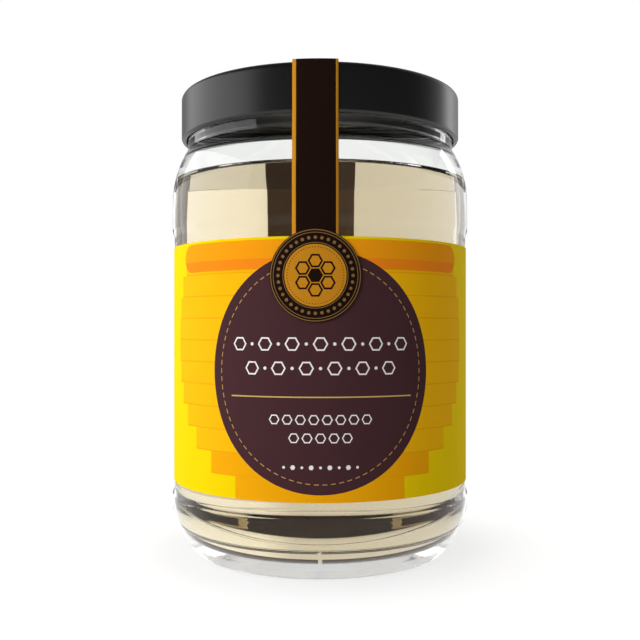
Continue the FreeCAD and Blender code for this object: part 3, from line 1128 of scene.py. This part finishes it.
@dataclass
class SealStrip:
    """The strip: a ribbon from under the seal, over the cap and down the back, with gold edges."""

    middle: float
    width: float
    low: float
    thickness: float
    form: JarForm
    cap: Cap
    gold_left: float = 0.75 * MM
    gold_right: float = 0.5 * MM
    cling: float = 0.03 * MM
    arch: float = 0.5 * MM
    ease: float = 3 * MM
    panel_drop: float = 2.3 * MM
    edge_reach: float = 5 * MM
    flat_reach: float = 8 * MM

    def path(self) -> list[Flat]:
        """Trace the ribbon's outer face along one side.

        Returns:
            Points as (radius, height), from the strip's end to the cap's top.
        """
        lift = self.thickness
        rounding = self.form.shoulder_sweep + lift
        middle = Vector((self.form.bulge + lift - rounding, self.form.shoulder))
        foot = Vector((self.cap.radius + lift, self.cap.low + self.cap.foot_rounding))
        away = foot - middle
        angle = math.atan2(away.y, away.x) - math.acos(rounding / away.length)
        turns = [angle * step / 6 for step in range(7)]
        arc = [Corner(middle.x + rounding * math.cos(turn), middle.y + rounding * math.sin(turn))
               for turn in turns]
        return rounded([
            Corner(self.form.label_radius + lift, self.low),
            Corner(self.form.label_radius + lift, self.form.panel_high - self.panel_drop, self.ease),
            Corner(self.form.bulge + lift, self.form.band_low, self.ease),
            *arc,
            Corner(foot.x, foot.y, 1.0 * MM),
            Corner(foot.x, self.cap.top + lift + self.arch, 1.5 * MM),
            Corner(self.cap.radius - self.edge_reach, self.cap.top + lift, 8 * MM),
            Corner(self.cap.radius - self.flat_reach, self.cap.top + lift),
        ], run_step=1.0 * MM)

    def _columns(self, left: float) -> list[float]:
        """Return the places of the ribbon's long lines, with one along the inner edge of each gold line.

        Args:
            left: The place of the ribbon's left edge.

        Returns:
            Places across the ribbon, from the left.
        """
        plain = self.width - self.gold_left - self.gold_right
        inner = [left + self.gold_left + share / 8 * plain for share in range(9)]
        return [left, *inner, self.middle + self.width / 2]

    def _rows(self, columns: Sequence[float]) -> list[list[tuple[float, float, float]]]:
        """Lay the ribbon's cross lines up the front, over the cap and down the back.

        Args:
            columns: The places of its long lines.

        Returns:
            The points of each cross line.
        """
        side = self.path()
        reach, height = side[-1]
        edge = [math.sqrt(reach ** 2 - x * x) for x in columns]
        rows = [[(x, -math.sqrt(r * r - x * x), z) for x in columns] for r, z in side]
        rows += [[(x, end * (step / 8 - 1), height) for x, end in zip(columns, edge)]
                 for step in range(1, 16)]
        rows += [[(x, math.sqrt(r * r - x * x), z) for x in columns] for r, z in reversed(side)]
        return rows

    def build(self) -> bpy.types.Object:
        """Make the ribbon, with its thickness.

        Returns:
            The strip's object.
        """
        left = self.middle - self.width / 2
        columns = self._columns(left)
        rows = self._rows(columns)
        across = len(columns)
        points = [point for row in rows for point in row]
        faces = [(first, first + 1, first + across + 1, first + across)
                 for start in range(0, (len(rows) - 1) * across, across)
                 for first in range(start, start + across - 1)]
        mesh = mesh_from("seal_strip", points, faces)
        for ink in (PaperInk.BLACK_BROWN, PaperInk.GOLD, PaperInk.STOCK):
            mesh.materials.append(ink.value.build())
        for polygon in mesh.polygons:
            polygon.material_index = 1 if polygon.index % (across - 1) in (0, across - 2) else 0
            polygon.use_smooth = True
        layer = mesh.uv_layers.new(name="Sheet")
        for loop in mesh.loops:
            row, column = divmod(loop.vertex_index, across)
            layer.data[loop.index].uv = ((columns[column] - left) / self.width * 0.06, row / len(rows))
        piece = link_object("seal_strip", mesh)
        solid = piece.modifiers.new("Thickness", "SOLIDIFY")
        solid.thickness = self.thickness + self.cling
        solid.offset = -1.0
        solid.material_offset = 2
        solid.material_offset_rim = 2
        return piece


@dataclass
class RoundSeal:
    """The round seal: gold rings on black-brown, and an amber disc with a small honeycomb."""

    middle: Flat
    size: float
    radius: float
    back: float
    cell: float = 1.5 * MM
    cell_line: float = 0.42 * MM
    cell_spread: float = 1.08
    mark_depth: float = 0.012 * MM
    rings: tuple[tuple[PaperInk, float], ...] = (
        (PaperInk.BLACK_BROWN, 0.0), (PaperInk.DIM_GOLD, 0.14), (PaperInk.BLACK_BROWN, 0.32),
        (PaperInk.DIM_GOLD, 0.66), (PaperInk.BLACK_BROWN, 0.8), (PaperInk.DIM_GOLD, 2.62),
        (PaperInk.BLACK_BROWN, 2.76), (PaperInk.GOLD, 2.98), (PaperInk.AMBER, 3.18))

    def build(self) -> bpy.types.Object:
        """Make the printed seal.

        Returns:
            The seal's object.
        """
        patches = [Patch(ink, oval(self.middle, self.size - inset * MM, self.size - inset * MM))
                   for ink, inset in self.rings]
        patches.append(Patch(PaperInk.BLACK_BROWN, oval(self.middle, self.cell, self.cell, 6)))
        pitch = self.cell * math.sqrt(3) * self.cell_spread
        for turn in (math.radians(30 + 60 * number) for number in range(6)):
            spot = (self.middle[0] + pitch * math.cos(turn), self.middle[1] + pitch * math.sin(turn))
            patches += cell_outline(PaperInk.BLACK_BROWN, PaperInk.AMBER, spot, self.cell, self.cell_line)
        return PrintedSheet("round_seal", patches[0].corners, patches, self.radius, self.back,
                            PaperInk.STOCK).build()

    def marks(self, tree: bpy.types.GeometryNodeTree) -> list[bpy.types.Object]:
        """Make the ring of small cells on the dark ring and the dotted ring on the amber disc.

        Args:
            tree: The tree that sets motifs along a path.

        Returns:
            The two rings' objects.
        """
        # The name, the ring's radius, the mark's size and corners, how many marks, and their ink.
        kinds = (("seal_ring_cells", 7.3 * MM, 0.36 * MM, 6, 36, PaperInk.DIM_GOLD),
                 ("seal_dots", 5.5 * MM, 0.1 * MM, 8, 60, PaperInk.BLACK_BROWN))
        return [motif_row(name, oval(self.middle, ring, ring), oval((0, 0), size, size, corners),
                          self.mark_depth, count, self.radius, ink, tree)
                for name, ring, size, corners, count, ink in kinds]


# ------------------------------------------------------------------ studio


@dataclass
class Studio:
    """The white sweep, the lamps and the camera."""

    reach: float
    eye_height: float
    lens: float = 48.3
    lift: float = 0.0116
    ambient: float = 0.34
    shade: Flat = (0.034, 0.085)
    floor_half: float = 3.0
    floor_drop: float = 0.05 * MM

    def build(self) -> None:
        """Make the floor, the world, the lamps and the camera."""
        self._world()
        self._floor()
        self._lamp("left_window", (-0.45, 0.02, 0.12), (0.72, 0.5), 2.1)
        self._lamp("front_fill", (-0.42, -0.52, 0.22), (0.30, 0.30), 1.6, mirrored=False)
        self._lamp("right_edge", (0.40, 0.30, 0.10), (0.10, 0.5), 0.5)
        self._camera()

    def _world(self) -> None:
        """Make the surroundings: white behind, and softer light for what they light."""
        world = bpy.data.worlds.new("White studio")
        bpy.context.scene.world = world
        world.use_nodes = True
        tree = world.node_tree
        tree.nodes.clear()
        rays = add(tree, "ShaderNodeLightPath")
        place = add(tree, "ShaderNodeTexCoord")
        parts = add(tree, "ShaderNodeSeparateXYZ", {0: place.outputs["Generated"]})
        across, depth = parts.outputs["X"], parts.outputs["Y"]
        mirrored = calc(tree, "MULTIPLY", ramp(tree, depth, (-0.1, 0.7), (0.05, 0.6)),
                        ramp(tree, across, (-0.9, 0.1), (0.3, 1.0)))
        through = calc(tree, "MULTIPLY", ramp(tree, across, (0.10, 0.24), (1.0, 1.45)),
                       ramp(tree, depth, (-0.3, 0.3), (0.75, 1.0)))
        light = add(tree, "ShaderNodeBackground", {"Color": WHITE, "Strength": self.ambient})
        for kind, level in (("Glossy", mirrored), ("Transmission", through), ("Camera", 1.0)):
            seen = add(tree, "ShaderNodeBackground", {"Color": WHITE, "Strength": level})
            light = add(tree, "ShaderNodeMixShader", {
                0: rays.outputs[f"Is {kind} Ray"], 1: light.outputs[0], 2: seen.outputs[0]})
        add(tree, "ShaderNodeOutputWorld", {"Surface": light.outputs[0]})

    def _floor(self) -> None:
        """Make the floor: pale, white to the eye, and still darker where the jar shades it."""
        sides = ((-1, -1), (1, -1), (1, 1), (-1, 1))
        points = [(x * self.floor_half, y * self.floor_half, -self.floor_drop) for x, y in sides]
        mesh = mesh_from("floor", points, [(0, 1, 2, 3)])
        material, tree, output = shader_tree("Sweep, matt white board")
        rays = add(tree, "ShaderNodeLightPath")
        place = add(tree, "ShaderNodeTexCoord")
        away = add(tree, "ShaderNodeVectorMath", {0: place.outputs["Object"]}, operation="LENGTH")
        near = ramp(tree, away.outputs["Value"], self.shade, (0.5, 1.0))
        level = ramp(tree, away.outputs["Value"], self.shade, (1.5, 1.0))
        seen = calc(tree, "MAXIMUM", rays.outputs["Is Camera Ray"], calc(
            tree, "MAXIMUM", rays.outputs["Is Transmission Ray"], rays.outputs["Is Glossy Ray"]))
        matt = add(tree, "ShaderNodeBsdfDiffuse", {"Color": (0.75, 0.75, 0.75, 1.0)})
        glow = add(tree, "ShaderNodeEmission", {"Color": WHITE, "Strength": level})
        mixed = add(tree, "ShaderNodeMixShader", {
            0: calc(tree, "MULTIPLY", seen, near), 1: matt.outputs[0], 2: glow.outputs[0]})
        tree.links.new(mixed.outputs[0], output.inputs["Surface"])
        mesh.materials.append(material)
        link_object("floor", mesh)

    @staticmethod
    def _lamp(name: str, place: tuple[float, float, float], size: Flat, power: float,
              mirrored: bool = True) -> None:
        """Hang a soft rectangular lamp that faces the jar.

        Args:
            name: The lamp's name.
            place: Where it hangs.
            size: Its width and height.
            power: Its power in watts.
            mirrored: Whether glossy pieces mirror it.
        """
        light = bpy.data.lights.new(name, "AREA")
        light.shape = "RECTANGLE"
        light.size, light.size_y = size
        light.energy = power
        lamp = bpy.data.objects.new(name, light)
        lamp.location = place
        lamp.visible_glossy = mirrored
        lamp.visible_transmission = False
        lamp.rotation_euler = (Vector((0, 0, 0.05)) - Vector(place)).to_track_quat("-Z", "Y").to_euler()
        bpy.context.scene.collection.objects.link(lamp)

    def _camera(self) -> None:
        """Stand the camera in front, level, at the height of the jar's middle."""
        data = bpy.data.cameras.new("camera")
        data.lens = self.lens
        data.shift_y = self.lift
        data.clip_start = 0.01
        camera = bpy.data.objects.new("camera", data)
        camera.location = (0, -self.reach, self.eye_height)
        camera.rotation_euler = (math.pi / 2, 0, 0)
        bpy.context.scene.collection.objects.link(camera)
        bpy.context.scene.camera = camera


# ------------------------------------------------------------------ assembly


def main() -> None:
    """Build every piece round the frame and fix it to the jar's body."""
    logging.basicConfig(level=logging.INFO, format="%(message)s")
    bpy.context.scene.view_settings.view_transform = "Standard"
    jar_box, honey_box, cap_box, label_box, strip_box, seal_box = (
        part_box(node) for node in ("jar", "honey", "cap", "label", "strip", "seal"))
    form = JarForm(bulge=jar_box[1].x, rim=jar_box[1].z, floor=honey_box[0].z, fill=honey_box[1].z,
                   wall=jar_box[1].x - honey_box[1].x, label_radius=label_box[1].x)
    turning, motifs = turning_tree(), motif_tree()

    # Against the honey the glass bends light little, so that a clear wall shows beside the honey.
    wetted = ContainerGlass(name="Container glass, against the honey", ior=1.05, coat=0.3)
    glass = Turned("glass_jar", form.outside() + list(reversed(form.inside()))[1:], wetted, turning).build()
    dress_between(glass, form.fill, form.rim, ContainerGlass())
    foot_height = 3.4 * MM
    foot = ContainerGlass(name="Container glass, pressed foot", ior=1.02, coat=1.0)
    dress_between(glass, 0.0, foot_height, foot)
    declare(glass, "glass", "jar")

    # The honey reaches a hair into the glass, and climbs it a little at its edge.
    cling, rise, meniscus, rounding = 0.06 * MM, 0.35 * MM, 0.12 * MM, 0.5 * MM
    side = clipped(form.inside(cling), form.fill + rise)
    edge = side[-1][0]
    surface = rounded([
        Corner(*side[-1]), Corner(edge - meniscus, form.fill, rounding), Corner(0, form.fill)])
    honey = Turned("honey_fill", side + surface[1:], ClearHoney(), turning).build()
    declare(honey, "honey", "honey")

    cap = Cap(radius=cap_box[1].x, low=cap_box[0].z, top=cap_box[1].z)
    declare(Turned("screw_cap", cap.outline(), MouldedPlastic(), turning).build(), "cap", "cap")

    label = WrapLabel(radius=label_box[1].x, low=label_box[0].z, high=label_box[1].z,
                      glass=form.bulge - form.panel_depth - cling / 2)
    declare(label.build(), "label", "label")
    declare(label.stitches(motifs), "label")

    strip = SealStrip(middle=(strip_box[0].x + strip_box[1].x) / 2, low=strip_box[0].z,
                      width=strip_box[1].x - strip_box[0].x, thickness=strip_box[1].z - cap.top,
                      form=form, cap=cap)
    declare(strip.build(), "strip", "strip")

    middle = ((seal_box[0].x + seal_box[1].x) / 2, (seal_box[0].z + seal_box[1].z) / 2)
    seal = RoundSeal(middle=middle, size=(seal_box[1].z - seal_box[0].z) / 2, radius=-seal_box[0].y,
                     back=form.label_radius + strip.thickness + strip.cling)
    declare(seal.build(), "seal", "seal")
    for row in seal.marks(motifs):
        declare(row, "seal")

    Studio(reach=0.1982, eye_height=0.0503).build()


if __name__ == "__main__":
    main()
